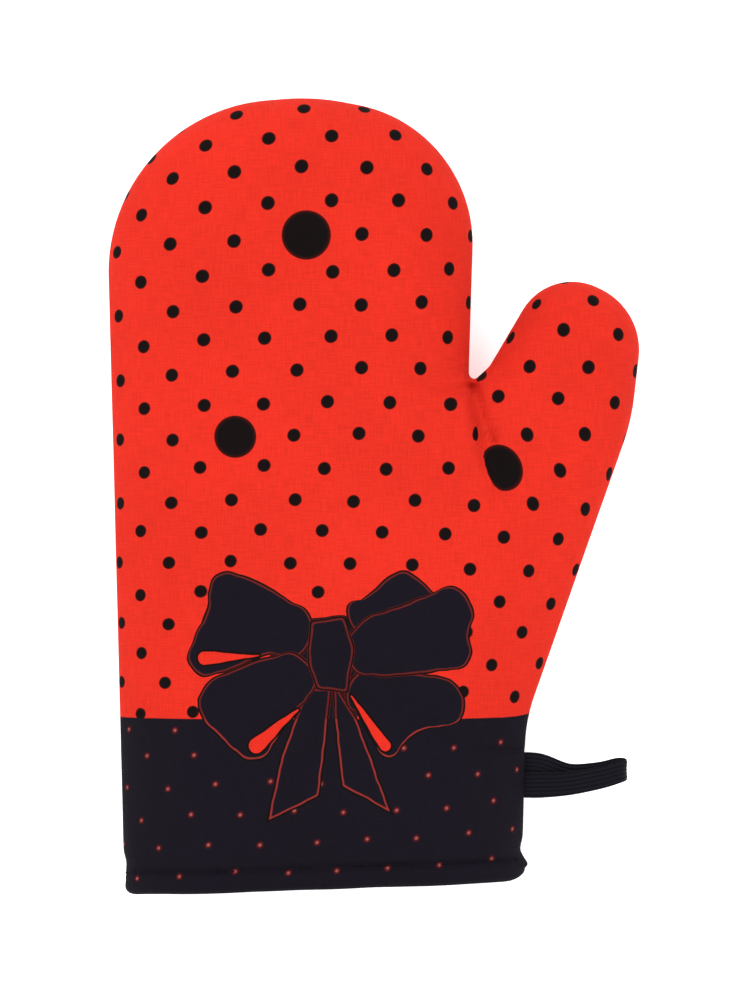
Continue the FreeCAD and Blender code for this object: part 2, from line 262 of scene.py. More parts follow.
def stations(set_back):
    """Seam points and the points in the panel's middle that they run to, one pair for each station.

    The middle is a line from the mouth to the hand's middle, with a branch to the fingertips and one to the
    thumb's. Each branch is walked once on each of its two sides, to the same points.
    """
    along = length_along(SEAM)
    marks = [along[np.linalg.norm(SEAM - span[0], axis=1).argmin()] for span in SPANS]
    hem = np.abs(SEAM[:, 1] - hem_edge(SEAM[:, 0]) - set_back)
    half = len(SEAM) // 2
    marks[0] = along[hem[:half].argmin()]
    marks[-1] = along[half + hem[half:].argmin()]
    middle_marks = np.array([span[1] for span in SPANS])
    middle_marks[[0, -1], 1] = hem_edge(middle_marks[[0, -1], 0]) + set_back
    lengths, middles = [], []
    for k, (count, power) in enumerate(span[2:] for span in SPANS[:-1]):
        share = np.arange(count) / count
        near, far = middle_marks[k : k + 2]
        moved = 1 - (1 - share) ** power if power > 0 else share ** (-power)
        lengths.append(marks[k] + (marks[k + 1] - marks[k]) * share)
        middles.append(near + (far - near) * moved[:, None])
    lengths.append([marks[-1]])
    middles.append(middle_marks[-1:])
    lengths = np.concatenate(lengths)
    middles = np.vstack(middles)
    edges = at_lengths(SEAM, lengths)
    normals = normals_at(lengths)
    return edges, normals, middles


SEAM_NORMALS = inward_normals(SEAM)


def normals_at(lengths):
    """The seam's inward directions at distances along it."""
    along = length_along(SEAM)
    mixed = np.stack([np.interp(lengths, along, column) for column in SEAM_NORMALS.T], axis=1)
    return unit(mixed)


# ---- the mitt's height


def thumb_share(plan):
    """Zero on the hand, one on the thumb, and a soft step between."""
    past_root = (plan - (30.0, 0.0)) @ THUMB_WAY
    past_side = (plan - CROTCH) @ THUMB_INNER_SIDE
    return smooth(past_root / 40.0) * smooth((past_side + 2.0) / 10.0)


def crown(plan, side, inset):
    """Height of a panel's face over the seam's plane, and how the cloth lies there.

    Inside its run a section is a quarter of an ellipse: the height is the rise times the root of
    1 - (1 - d / run) squared, where d is the distance to the seam. Past the run it is level.
    """
    thumb = thumb_share(plan)
    rise = (20.0 - 4.5 * thumb if side > 0 else 16.0 - 3.5 * thumb) - inset
    run = (34.0 - 16.0 * thumb if side > 0 else 26.0 - 10.0 * thumb) - 0.6 * inset
    foot, normal = nearest_on(COARSE_SEAM, plan)
    away = plan - foot
    inner = unit(away + 0.4 * normal)
    distance = np.linalg.norm(away, axis=1)
    share = np.clip((distance - inset) / run, 0.0, 1.0)
    return rise * np.sqrt(1 - (1 - share) ** 2), share, run, rise, inner


def spare_cloth(share, run, rise):
    """Cloth's length up the rest of the ellipse, less its length in plan."""
    start = np.arccos(1 - share)
    halves = (np.arange(24) + 0.5)[:, None] / 24
    angles = start + (math.pi / 2 - start) * halves
    arc = np.hypot(run * np.sin(angles), rise * np.cos(angles)).mean(axis=0)
    return arc * (math.pi / 2 - start) - run * (1 - share)


def near_line(plan, line, width):
    """One on a short line, falling off beside it as a bell of the given width, and how far along it is."""
    line = np.asarray(line, float)
    dense = at_lengths(line, np.linspace(0, length_along(line)[-1], 60))
    gaps = np.linalg.norm(plan[:, None] - dense, axis=2)
    along = gaps.argmin(axis=1) / 59
    gap = gaps.min(axis=1)
    return gap, along, np.exp(-((gap / width) ** 2))


# Creases that run from the thumb's crotch into the hand: line, depth at its start and end, width.
CREASES = (
    (((34.8, 38.5), (34.8, 34.0), (36.0, 28.0), (37.6, 20.5), (39.2, 10.0), (42.0, 1.5)), 3.4, 1.1, 1.5),
    (((36.2, 38.2), (37.7, 33.6), (39.5, 27.3), (42.4, 19.6)), 3.4, 2.0, 1.0),
    (((42.4, 19.6), (46.4, 3.0), (54.0, -12.0), (64.0, -30.0)), 1.3, 0.3, 2.2),
    (((34.0, 38.8), (28.5, 36.6), (20.0, 38.6), (12.0, 41.2)), 2.2, 0.2, 1.5),
    (((42.0, 1.5), (44.6, -7.6)), 1.1, 0.1, 1.5),
    (((53.0, -89.5), (38.0, -88.8), (20.0, -88.5)), 1.5, 0.1, 1.8),
)


def pressed(plan, side, inset):
    """Depth of the folds, the sewn row by the mouth, and the faint unevenness of filled cloth."""
    depth = np.zeros(len(plan))
    for line, first, last, width in CREASES:
        gap, along, bell = near_line(plan, line, width)
        deep = first + (last - first) * smooth(along)
        depth += deep * bell - 0.25 * deep * np.exp(-(((gap - 2.3 * width) / (1.4 * width)) ** 2))
    if side < 0:
        depth *= 0.5
    from_hem = plan[:, 1] - hem_edge(plan[:, 0])
    puckers = 0.2 * np.sin(TURN * plan[:, 0] / 3.0)
    deeper = min(inset, 1.0)
    depth += (1.9 + puckers + 0.7 * deeper) * np.exp(-(((from_hem - HEM_DEPTH) / (1.2 + 0.9 * deeper)) ** 2))
    x, y = plan[:, 0], plan[:, 1]
    waves = np.sin(x / 13.0 + 1.1) * np.sin(y / 17.0 + 0.4) + 0.6 * np.sin(x / 7.3 - y / 9.1)
    return depth - 0.18 * waves


def pulled(plan):
    """How far the cloth on the thumb's side is drawn over towards the crease, in the cloth's coordinates."""
    x, y = plan[:, 0], plan[:, 1]
    crease_x = np.interp(y, (-20.0, 0.0, 14.0, 38.0), (52.0, 45.0, 37.4, 34.8))
    past = np.where(y < 38.0, x - crease_x, (plan - CROTCH) @ THUMB_INNER_SIDE)
    low_end = smooth((y + 18.0) / 50.0)
    drawn = [5.0 * smooth((past + 1.5) / 3.0), -3.3 * smooth((past + 6.0) / 8.0)]
    return np.column_stack(drawn) * low_end[:, None]


class Face:
    """One face of the padded mitt: outside at inset 0, and each layer's face further in."""

    def __init__(self, side, inset=0.0, filled=None):
        self.side = side
        self.inset = inset
        self.filled = filled

    def at(self, plan):
        """Places in space over places in plan, and the print's place on the cloth.

        The height is the crown's less what is pressed, and at least four tenths of it. At the mouth the
        sides come in by the sewn row and stand out at the fold, more so towards the thumb's side.
        """
        shape = plan.shape[:-1]
        flat = plan.reshape(-1, 2)
        height, share, run, rise, inner = crown(flat, self.side, self.inset)
        ease = smooth(height / 5.0)
        press = pressed(flat, self.side, self.inset) * ease * (1 - 0.08 * max(self.inset - 1.0, 0.0))
        height = np.maximum(height - press, 0.4 * height)
        tuck = 0.75 * np.exp(-((height / 1.3) ** 2))
        from_hem = flat[:, 1] - hem_edge(flat[:, 0])
        thumbward = smooth((flat[:, 0] + 30.0) / 60.0)
        pinch = 0.9 * np.exp(-(((from_hem - 11.5) / 3.0) ** 2))
        bulge = (2.5 * thumbward - 0.5) * np.exp(-(((from_hem - 5.8) / 3.4) ** 2))
        near_seam = (1 - share) ** 6
        moved = flat + inner * (tuck + (pinch - bulge) * near_seam)[:, None]
        corner = (0.6 + 2.6 * thumbward) * near_seam**3 * np.exp(-((from_hem / 4.5) ** 2))
        set_in = 0.9 * smooth(height / 18.0) * np.exp(-np.maximum(from_hem, 0.0) / 10.0)
        moved[:, 1] += corner + (set_in if self.side > 0 else 0.0)
        z = SEAM_HEIGHT + self.side * np.maximum(height, 0.0)
        places = np.column_stack([moved, z])
        if self.filled is not None:
            places = places + self.filled(places) * ease[:, None]
        places[:, 2] = np.clip(places[:, 2], self.inset, TOP_LIMIT - self.inset)
        spare = spare_cloth(share, run, rise) * smooth((np.linalg.norm(flat - CROTCH, axis=1) - 3.0) / 14.0)
        cloth = flat - inner * spare[:, None] + pulled(flat)
        return places.reshape(*shape, 3), cloth.reshape(*shape, 2)


def shares_in(rows):
    """Shares of the way from the seam to the middle, close together at the seam."""
    return np.linspace(0, 1, rows + 1) ** CROWDING


def normals_of(places, side):
    """Directions square to a grid's surface, pointing out of the mitt."""
    across = np.gradient(places, axis=0)
    along = np.gradient(places, axis=1)
    square = unit(np.cross(along, across))
    return square * np.where(square[..., 2:].mean() * side > 0, 1.0, -1.0)


# ---- filling the mitt out


def welded(points, faces, name):
    """A plain mesh object with its doubles merged and its mouth closed."""
    mesh = bpy.data.meshes.new(name)
    mesh.from_pydata(points * MM, [], faces.tolist())
    work = bmesh.new()
    work.from_mesh(mesh)
    bmesh.ops.remove_doubles(work, verts=work.verts, dist=0.02 * MM)
    bmesh.ops.holes_fill(work, edges=[e for e in work.edges if e.is_boundary], sides=0)
    bmesh.ops.triangulate(work, faces=[f for f in work.faces if len(f.verts) > 4])
    bmesh.ops.recalc_face_normals(work, faces=work.faces)
    work.to_mesh(mesh)
    work.free()
    return placed(name, mesh)


def mesh_points(mesh):
    """A mesh's points in millimetres."""
    points = np.zeros(len(mesh.vertices) * 3, np.float32)
    mesh.vertices.foreach_get("co", points)
    return points.reshape(-1, 3).astype(float) / MM


def shaped(source):
    """A copy of an object's mesh as its modifiers leave it."""
    graph = bpy.context.evaluated_depsgraph_get()
    return bpy.data.meshes.new_from_object(source.evaluated_get(graph))


def blow_up(most):
    """Cloth simulation of the padded mitt, held at its seam and mouth and pressed out from inside.

    The result is a rule that says how far any point near the cloth has moved: the mean of the simulated
    moves, each counted by a bell of its distance.
    """
    edges, _, middles = stations(0.0)
    picked = np.r_[0 : len(edges) : 3, len(edges) - 1]
    shares = shares_in(ROWS)[::2]
    plan = edges[picked, None] + (middles[picked] - edges[picked])[:, None] * shares[:, None]
    grids = [Face(side).at(plan)[0] for side in (1, -1)]
    faces = grid_faces(len(picked), len(shares))
    count = plan.shape[0] * plan.shape[1]
    grids[1][:, 0] = grids[0][:, 0]
    points = np.vstack([grid.reshape(-1, 3) for grid in grids])
    cage = welded(points, np.vstack([faces, faces + count]), "filling_cage")
    even = cage.modifiers.new("even", "REMESH")
    even.mode = "VOXEL"
    even.voxel_size = 4.5 * MM
    cage.data = shaped(cage)
    cage.modifiers.clear()
    start = mesh_points(cage.data)
    foot = nearest_on(COARSE_SEAM, start[:, :2])[0]
    by_seam = np.linalg.norm(start[:, :2] - foot, axis=1) < 2.6
    by_seam &= np.abs(start[:, 2] - SEAM_HEIGHT) < 5.0
    by_mouth = start[:, 1] - hem_edge(start[:, 0]) < 2.5
    group = cage.vertex_groups.new(name="held")
    group.add(np.flatnonzero(by_seam | by_mouth).tolist(), 1.0, "ADD")
    cloth = cage.modifiers.new("cloth", "CLOTH")
    settings = cloth.settings
    settings.quality = 6
    settings.mass = 0.3
    settings.tension_stiffness = 12.0
    settings.compression_stiffness = 10.0
    settings.shear_stiffness = 5.0
    settings.bending_stiffness = 0.4
    settings.shrink_min = -0.012
    settings.vertex_group_mass = "held"
    settings.use_pressure = True
    settings.uniform_pressure_force = 4.0
    settings.effector_weights.gravity = 0.0
    cloth.collision_settings.use_collision = False
    cloth.collision_settings.use_self_collision = False
    cloth.point_cache.frame_end = 20
    for number in range(1, 21):
        bpy.context.scene.frame_set(number)
    end = mesh_points(shaped(cage))
    bpy.context.scene.frame_set(1)
    bpy.data.objects.remove(cage)
    moves = end - start
    reach = np.linalg.norm(moves, axis=1, keepdims=True)
    moves = moves * np.minimum(1.0, most / np.maximum(reach, 1e-6))
    moves[:, :2] *= 0.5
    print("filled out by", np.round(np.percentile(reach, (5, 50, 95)), 2), "mm")

    def filled(points):
        found = []
        for some in np.array_split(points, max(1, len(points) // 1500)):
            gaps = ((some[:, None] - start) ** 2).sum(axis=2)
            weights = np.exp(-gaps / (2 * 3.2**2)) + 1e-12
            found.append(weights @ moves / weights.sum(axis=1, keepdims=True))
        return np.vstack(found)

    return filled


# ---- materials


class Recipe:
    """A node tree being filled. Each method adds a node and gives back its output."""

    def __init__(self, tree):
        self.tree = tree

    def node(self, kind, **settings):
        made = self.tree.nodes.new(kind)
        for key, value in settings.items():
            setattr(made, key, value)
        return made

    def feed(self, socket, value):
        if isinstance(value, bpy.types.NodeSocket):
            self.tree.links.new(value, socket)
        else:
            socket.default_value = value

    def made(self, kind, inputs, output=0, **settings):
        node = self.node(kind, **settings)
        for key, value in inputs:
            self.feed(node.inputs[key], value)
        return node.outputs[output]

    def maths(self, operation, *values, clamp=False):
        return self.made("ShaderNodeMath", enumerate(values), operation=operation, use_clamp=clamp)

    def times(self, first, second):
        return self.maths("MULTIPLY", first, second)

    def plus(self, first, second):
        return self.maths("ADD", first, second)

    def minus(self, first, second):
        return self.maths("SUBTRACT", first, second)

    def arrows(self, operation, *values):
        keys = (0, 3) if operation == "SCALE" else range(len(values))
        output = "Value" if operation in ("DOT_PRODUCT", "LENGTH", "DISTANCE") else "Vector"
        return self.made("ShaderNodeVectorMath", zip(keys, values), output, operation=operation)

    def total(self, *values):
        sum_so_far = values[0]
        for value in values[1:]:
            sum_so_far = self.plus(sum_so_far, value)
        return sum_so_far

    def step(self, value, low, high, start=0.0, end=1.0):
        inputs = enumerate((value, low, high, start, end))
        return self.made("ShaderNodeMapRange", inputs, interpolation_type="SMOOTHSTEP")

    def mix(self, share, first, second):
        return self.made("ShaderNodeMix", ((0, share), (6, first), (7, second)), 2, data_type="RGBA")

    def choose(self, share, first, second):
        return self.made("ShaderNodeMix", ((0, share), (2, first), (3, second)), data_type="FLOAT")

    def noise(self, place, scale, detail=2.0, output=0):
        inputs = (("Vector", place), ("Scale", scale), ("Detail", detail))
        return self.made("ShaderNodeTexNoise", inputs, output)

    def split(self, vector):
        made = self.node("ShaderNodeSeparateXYZ")
        self.feed(made.inputs[0], vector)
        return made.outputs[0], made.outputs[1]

    def join(self, x, y, z=0.0):
        return self.made("ShaderNodeCombineXYZ", enumerate((x, y, z)))

    def group(self, tree, **values):
        made = self.node("ShaderNodeGroup", node_tree=tree)
        for key, value in values.items():
            self.feed(made.inputs[key], value)
        return made


def new_group(name, inputs, outputs):
    """An empty node group with named sockets, its recipe and its two ends."""
    tree = bpy.data.node_groups.new(name, "ShaderNodeTree")
    for way, sockets in (("INPUT", inputs), ("OUTPUT", outputs)):
        for label, kind in sockets:
            tree.interface.new_socket(name=label, in_out=way, socket_type="NodeSocket" + kind)
    recipe = Recipe(tree)
    return tree, recipe, recipe.node("NodeGroupInput"), recipe.node("NodeGroupOutput")


def woven_group():
    """Plain weave: raised crossings at each thread, and longer slubs along both sets of threads."""
    tree, do, given, out = new_group(
        "plain_weave",
        (("Place", "Vector"), ("Threads", "Float")),
        (("Height", "Float"), ("Slub", "Float")),
    )
    place = given.outputs["Place"]
    threads = given.outputs["Threads"]
    x, y = do.split(do.arrows("SCALE", place, threads))
    lift = do.times(do.maths("SINE", do.times(x, TURN)), do.maths("SINE", do.times(y, TURN)))
    along = do.noise(do.arrows("MULTIPLY", place, (0.16, 2.3, 1.0)), 1.0, 3.0)
    across = do.noise(do.arrows("MULTIPLY", place, (2.3, 0.16, 1.0)), 1.0, 3.0)
    slub = do.times(do.plus(along, across), 0.5)
    do.feed(out.inputs["Height"], do.total(do.times(lift, 0.35), slub))
    do.feed(out.inputs["Slub"], slub)
    return tree


def stroke_group():
    """How far inside a tapered stroke a place is: the radius there less the distance to its middle line."""
    tree, do, given, out = new_group(
        "tapered_stroke",
        (
            ("Place", "Vector"), ("Start", "Vector"), ("End", "Vector"),
            ("Start Radius", "Float"), ("End Radius", "Float"),
        ),
        (("Inside", "Float"),),
    )
    run = do.arrows("SUBTRACT", given.outputs["End"], given.outputs["Start"])
    apart = do.arrows("SUBTRACT", given.outputs["Place"], given.outputs["Start"])
    share = do.maths(
        "DIVIDE", do.arrows("DOT_PRODUCT", apart, run), do.arrows("DOT_PRODUCT", run, run), clamp=True
    )
    gap = do.arrows("LENGTH", do.arrows("SUBTRACT", apart, do.arrows("SCALE", run, share)))
    radius = do.choose(share, given.outputs["Start Radius"], given.outputs["End Radius"])
    do.feed(out.inputs["Inside"], do.minus(radius, gap))
    return tree


def lobe(do, place, centre, radii):
    """How far inside a rounded shape a place is. Its radius in each direction follows a soft curve."""
    x, y = do.split(do.arrows("SUBTRACT", place, (*centre, 0.0)))
    angle = do.maths("ARCTAN2", y, x)
    share = do.maths("MULTIPLY_ADD", angle, 1 / TURN, 0.5)
    curve = do.node("ShaderNodeFloatCurve")
    do.feed(curve.inputs["Value"], share)
    points = curve.mapping.curves[0].points
    heights = [radius / 30.0 for radius in (*radii, radii[0])]
    points[0].location = (0.0, heights[0])
    points[-1].location = (1.0, heights[-1])
    for k, height in enumerate(heights[1:-1], start=1):
        points.new(k / len(radii), height)
    curve.mapping.update()
    radius = do.times(curve.outputs[0], 30.0)
    return do.minus(radius, do.arrows("LENGTH", do.join(x, y)))


def patch(do, place, corners, softness=0.6):
    """How far inside a shape with straight sides a place is: the least distance to a side's line."""
    corners = np.array(corners, float)
    inside = None
    for here, there in zip(corners, np.roll(corners, -1, axis=0)):
        way = unit(there - here)
        inward = np.array((-way[1], way[0]))
        if (corners.mean(axis=0) - here) @ inward < 0:
            inward = -inward
        apart = do.arrows("DOT_PRODUCT", place, (*inward, 0.0))
        side = do.minus(apart, float(here @ inward))
        inside = side if inside is None else do.maths("SMOOTH_MIN", inside, side, softness)
    return inside


# The printed ribbon bow, in millimetres from its knot's middle: each part has a middle, and a radius every
# 22.5 degrees from the left, round by the bottom.
KNOT = (-14.6, -54.2)
BOW_LEFT_UPPER = ((-31.6, 10.9), (
    13.6, 18.0, 23.2, 19.0, 15.2, 13.8, 15.2, 25.0, 25.5, 19.6, 16.5, 16.0, 16.8, 18.7, 15.8, 12.8,
))
BOW_LEFT_LOWER = ((-26.1, -14.9), (
    19.9, 19.8, 18.2, 19.6, 21.6, 17.3, 14.8, 14.8, 18.4, 22.5, 21.4, 15.9, 13.3, 12.2, 13.2, 16.7,
))
BOW_RIGHT_LOWER = ((24.8, -19.0), (
    17.0, 14.8, 15.1, 17.6, 12.2, 9.6, 10.2, 15.2, 22.0, 21.0, 17.0, 14.0, 13.2, 14.5, 20.0, 21.0,
))
BOW_RIGHT_BACK = ((21.4, 19.0), (
    11.2, 17.4, 17.0, 12.0, 9.0, 9.0, 11.0, 13.5, 14.4, 12.6, 11.2, 10.8, 9.2, 7.8, 7.2, 8.0,
))
BOW_RIGHT_UPPER = ((28.9, 6.8), (
    23.0, 25.0, 20.0, 15.7, 13.8, 14.0, 17.0, 21.0, 18.6, 21.8, 22.0, 16.0, 12.4, 11.5, 12.6, 17.0,
))
BOW_TAIL_LEFT = (
    (0.6, -11.0), (-8.6, -11.0), (-14.0, -25.0), (-18.3, -38.0), (-22.4, -58.2), (-3.3, -48.4), (-1.0, -25.0),
)
BOW_TAIL_RIGHT = (
    (0.4, -11.0), (1.1, -25.0), (3.3, -45.4), (23.4, -56.4), (16.4, -33.6), (9.6, -22.6), (5.4, -11.0),
)
# Dark cloth between the loops' ends, round the knot.
BOW_HEART = (
    (-8.0, 12.6), (5.0, 13.6), (10.5, 8.0), (12.0, -4.0), (10.5, -14.0), (9.5, -22.5), (5.0, -26.0),
    (-5.0, -25.0), (-10.5, -18.0), (-23.0, -2.0),
)
BOW_KNOT = ((-7.4, 12.0), (4.6, 13.3), (8.3, 3.0), (6.0, -13.4), (-5.2, -11.8), (-8.4, -2.4))
# Openings in the loops, through which the ground shows: narrow end, wide end, their radii.
BOW_GAPS = {
    "left_upper": ((-25.0, -0.3), (-43.8, -1.2), 0.15, 2.3),
    "left_lower": ((-11.4, -18.8), (-25.6, -31.2), 0.3, 2.6),
    "right_lower": ((7.0, -14.2), (18.4, -31.2), 0.25, 1.9),
}

PRINT_GROWTH = 1.014
CUFF_EDGE = -76.0
DOT_PITCH = (10.6, 11.0)
CUFF_PITCH = (8.9, 10.2)
# Large dots, and a small one caught at the thumb's crotch: middle and radius, in millimetres of cloth.
LARGE_DOTS = (
    ((-23.1, 89.7), 8.4),
    ((-47.5, 20.6), 7.2),
    ((46.9, 8.0), 7.2),
    ((41.0, 39.2), 2.6),
)
RED = (0.558, 0.0211, 0.011, 1.0)
DEEP_RED = (0.085, 0.005, 0.005, 1.0)
LINE_RED = (0.10, 0.011, 0.010, 1.0)
BRIGHT_LINE = (0.21, 0.021, 0.018, 1.0)
PALE_DOT = (0.24, 0.065, 0.06, 1.0)
NIGHT = (0.0063, 0.0047, 0.0088, 1.0)
INK = (0.0045, 0.0025, 0.0025, 1.0)
RIM = (0.035, 0.0030, 0.0025, 1.0)


def bow_marks(do, place, stroke):
    """How deep in the topmost part of the bow a place is, and whether it is in an opening."""
    local = do.arrows("SUBTRACT", place, (*KNOT, 0.0))
    depth = -9.0
    opening = 0.0

    def lay(inside, depth, opening):
        on = do.maths("GREATER_THAN", inside, 0.0)
        return do.choose(on, depth, inside), do.times(opening, do.minus(1.0, on))

    def cut(name, depth, opening):
        start, end, first, last = BOW_GAPS[name]
        inside = do.group(stroke, **{
            "Place": local, "Start": (*start, 0.0), "End": (*end, 0.0),
            "Start Radius": first, "End Radius": last,
        }).outputs[0]
        near_edge = do.maths("LESS_THAN", do.maths("ABSOLUTE", inside), 0.7)
        rim = do.times(near_edge, do.maths("LESS_THAN", inside, 0.0))
        depth = do.choose(rim, depth, 0.4)
        return depth, do.maths("MAXIMUM", opening, do.step(inside, -0.1, 0.15))

    depth = do.choose(do.maths("GREATER_THAN", patch(do, local, BOW_HEART, 2.0), 0.0), depth, 3.0)
    for tail in (BOW_TAIL_LEFT, BOW_TAIL_RIGHT):
        depth, opening = lay(patch(do, local, tail), depth, opening)
    for part, gap in (
        (BOW_LEFT_UPPER, "left_upper"), (BOW_LEFT_LOWER, "left_lower"), (BOW_RIGHT_LOWER, "right_lower"),
        (BOW_RIGHT_BACK, None), (BOW_RIGHT_UPPER, None),
    ):
        depth, opening = lay(lobe(do, local, *part), depth, opening)
        if gap:
            depth, opening = cut(gap, depth, opening)
    depth, opening = lay(patch(do, local, BOW_KNOT, 2.0), depth, opening)
    return depth, opening


def staggered_dots(do, count_x, count_y, pitch, scatter, seed):
    """Distance to the nearest dot of a staggered pattern: dots stand where the two counts are whole and
    their sum is even, each a little off its place."""
    rising = do.times(do.plus(count_x, count_y), 0.5)
    falling = do.times(do.minus(count_x, count_y), 0.5)
    whole_rising = do.maths("ROUND", rising)
    whole_falling = do.maths("ROUND", falling)
    off_rising = do.minus(rising, whole_rising)
    off_falling = do.minus(falling, whole_falling)
    chance = do.node("ShaderNodeTexWhiteNoise", noise_dimensions="3D")
    do.feed(chance.inputs["Vector"], do.join(whole_rising, whole_falling, seed))
    shift = do.arrows("SCALE", do.arrows("SUBTRACT", chance.outputs["Color"], (0.5, 0.5, 0.5)), scatter)
    across = do.times(do.plus(off_rising, off_falling), pitch[0])
    up = do.times(do.minus(off_rising, off_falling), pitch[1])
    shift_x, shift_y = do.split(shift)
    return do.arrows("LENGTH", do.join(do.plus(across, shift_x), do.plus(up, shift_y)))


def bent_count(do, place, squares, product, start, slopes, bends, twist):
    """Rows counted over the cloth: a start, slopes in x and y, and slight bends, as printed cloth lies."""
    straight = do.arrows("DOT_PRODUCT", place, (*slopes, 0.0))
    bent = do.arrows("DOT_PRODUCT", squares, (*bends, 0.0))
    return do.total(straight, bent, do.times(product, twist), start)


def cloth_place(do):
    """The piece's own cloth coordinates, in millimetres."""
    uv = do.node("ShaderNodeUVMap", uv_map="cloth")
    return do.arrows("SCALE", uv.outputs[0], 1000.0)


def print_place(do):
    """Cloth coordinates as the print was drawn: a little smaller than it came out on the cloth."""
    return do.arrows("SCALE", cloth_place(do), 1 / PRINT_GROWTH)


def finished(name, roughness, sheen=0.0):
    """A material with a Principled shader, and its recipe."""
    material = bpy.data.materials.new(name)
    material.use_nodes = True
    do = Recipe(material.node_tree)
    shader = material.node_tree.nodes["Principled BSDF"]
    shader.inputs["Roughness"].default_value = roughness
    shader.inputs["Sheen Weight"].default_value = sheen
    shader.inputs["Sheen Roughness"].default_value = 0.5
    shader.inputs["Specular IOR Level"].default_value = 0.06
    return material, do, shader


def dress(do, shader, colour, height, strength, distance):
    """Feeds the shader its colour, and bump from a height."""
    do.feed(shader.inputs["Base Color"], colour)
    bump = do.node("ShaderNodeBump")
    bump.inputs["Strength"].default_value = strength
    bump.inputs["Distance"].default_value = distance
    do.feed(bump.inputs["Height"], height)
    do.feed(shader.inputs["Normal"], bump.outputs[0])


def printed_cotton(weave, stroke):
    """Red ground with staggered dots and a few large ones, a dark cuff with pale dots, and a ribbon bow."""
    material, do, shader = finished("printed_cotton", 0.9)
    place = print_place(do)
    x, y = do.split(place)
    squares = do.arrows("MULTIPLY", place, place)
    product = do.times(x, y)
    wobble = do.arrows("SUBTRACT", do.noise(place, 0.14, 1.0, output=1), (0.5, 0.5, 0.5))
    drawn = do.arrows("ADD", place, do.arrows("SCALE", wobble, 1.1))

    across = bent_count(do, place, squares, product, 2.62, (0.0954, -0.0044), (1.7e-5, 1.1e-5), -3.7e-5)
    up = bent_count(do, place, squares, product, -3.9, (0.0019, 0.0908), (3.4e-5, -3.2e-5), -4.2e-5)
    from_small = staggered_dots(do, across, up, DOT_PITCH, 1.5, 3.0)
    dark = do.step(from_small, 2.45, 2.1)
    inside = do.step(from_small, 2.2, 1.7)
    for centre, radius in LARGE_DOTS:
        gap = do.arrows("DISTANCE", place, (*centre, 0.0))
        dark = do.maths("MAXIMUM", dark, do.step(gap, radius + 0.2, radius - 0.15))
        inside = do.maths("MAXIMUM", inside, do.step(gap, radius - 0.1, radius - 1.3))
    ground = do.mix(dark, RED, do.mix(inside, RIM, INK))

    wide, high = CUFF_PITCH
    drifting = do.times(y, -0.012)
    cuff_across = do.total(do.times(x, 1 / wide), drifting, 64.1 / wide - 1.35)
    leaning = do.times(x, -0.043 / high)
    cuff_up = do.total(do.times(y, 1 / high), leaning, (109.9 - 2.76) / high)
    gap = staggered_dots(do, cuff_across, cuff_up, CUFF_PITCH, 2.2, 7.0)
    halo = do.mix(do.step(gap, 1.5, 0.6), NIGHT, DEEP_RED)
    cuff_colour = do.mix(do.step(gap, 0.75, 0.3), halo, PALE_DOT)
    edge = do.plus(y, do.times(do.noise(place, 0.1, 1.0), 0.5))
    cuff = do.step(edge, CUFF_EDGE + 0.15, CUFF_EDGE - 0.15)
    cloth = do.mix(cuff, ground, cuff_colour)

    depth, opening = bow_marks(do, drawn, stroke)
    on_bow = do.step(depth, -0.12, 0.12)
    from_line = do.maths("ABSOLUTE", do.minus(depth, 0.95))
    line = do.step(from_line, 0.45, 0.14)
    line_colour = do.mix(cuff, LINE_RED, BRIGHT_LINE)
    bow = do.mix(line, do.mix(do.step(depth, 0.5, 1.2), INK, NIGHT), line_colour)
    cloth = do.mix(on_bow, cloth, bow)
    cloth = do.mix(opening, cloth, RED)

    woven = do.group(weave, Place=place, Threads=2.1)
    shade = do.step(woven.outputs["Slub"], 0.3, 0.7, 0.86, 1.1)
    patchy = do.step(do.noise(place, 0.02, 3.0), 0.3, 0.7, 0.96, 1.03)
    tone = do.times(shade, patchy)
    dress(do, shader, do.arrows("SCALE", cloth, tone), woven.outputs["Height"], 0.5, 0.00025)
    return material


def plain_cotton(weave):
    """Unbleached lining cotton."""
    material, do, shader = finished("lining_cotton", 0.9, sheen=0.1)
    place = cloth_place(do)
    woven = do.group(weave, Place=place, Threads=1.7)
    slub = do.step(woven.outputs["Slub"], 0.3, 0.7)
    colour = do.mix(slub, (0.55, 0.50, 0.42, 1), (0.74, 0.70, 0.62, 1))
    dress(do, shader, colour, woven.outputs["Height"], 0.6, 0.0003)
    return material


def object_place(do):
    """The piece's own coordinates, in millimetres."""
    return do.arrows("SCALE", do.node("ShaderNodeTexCoord").outputs["Object"], 1000.0)


def polyester_wadding():
    """White batting: matted fibres in clumps."""
    material, do, shader = finished("wadding", 1.0)
    clumps = do.noise(object_place(do), 0.35, 6.0)
    dress(do, shader, do.mix(clumps, (0.62, 0.61, 0.58, 1), (0.86, 0.86, 0.84, 1)), clumps, 0.8, 0.0012)
    return material


def twisted_thread(name, dark, light):
    """Sewing thread: slanting plies across the strand."""
    material, do, shader = finished(name, 0.8)
    x, y = do.split(object_place(do))
    ply = do.maths("SINE", do.times(do.plus(x, do.times(y, 0.6)), 14.0))
    share = do.maths("MULTIPLY_ADD", ply, 0.5, 0.5)
    dress(do, shader, do.mix(share, dark, light), share, 0.5, 0.0001)
    return material


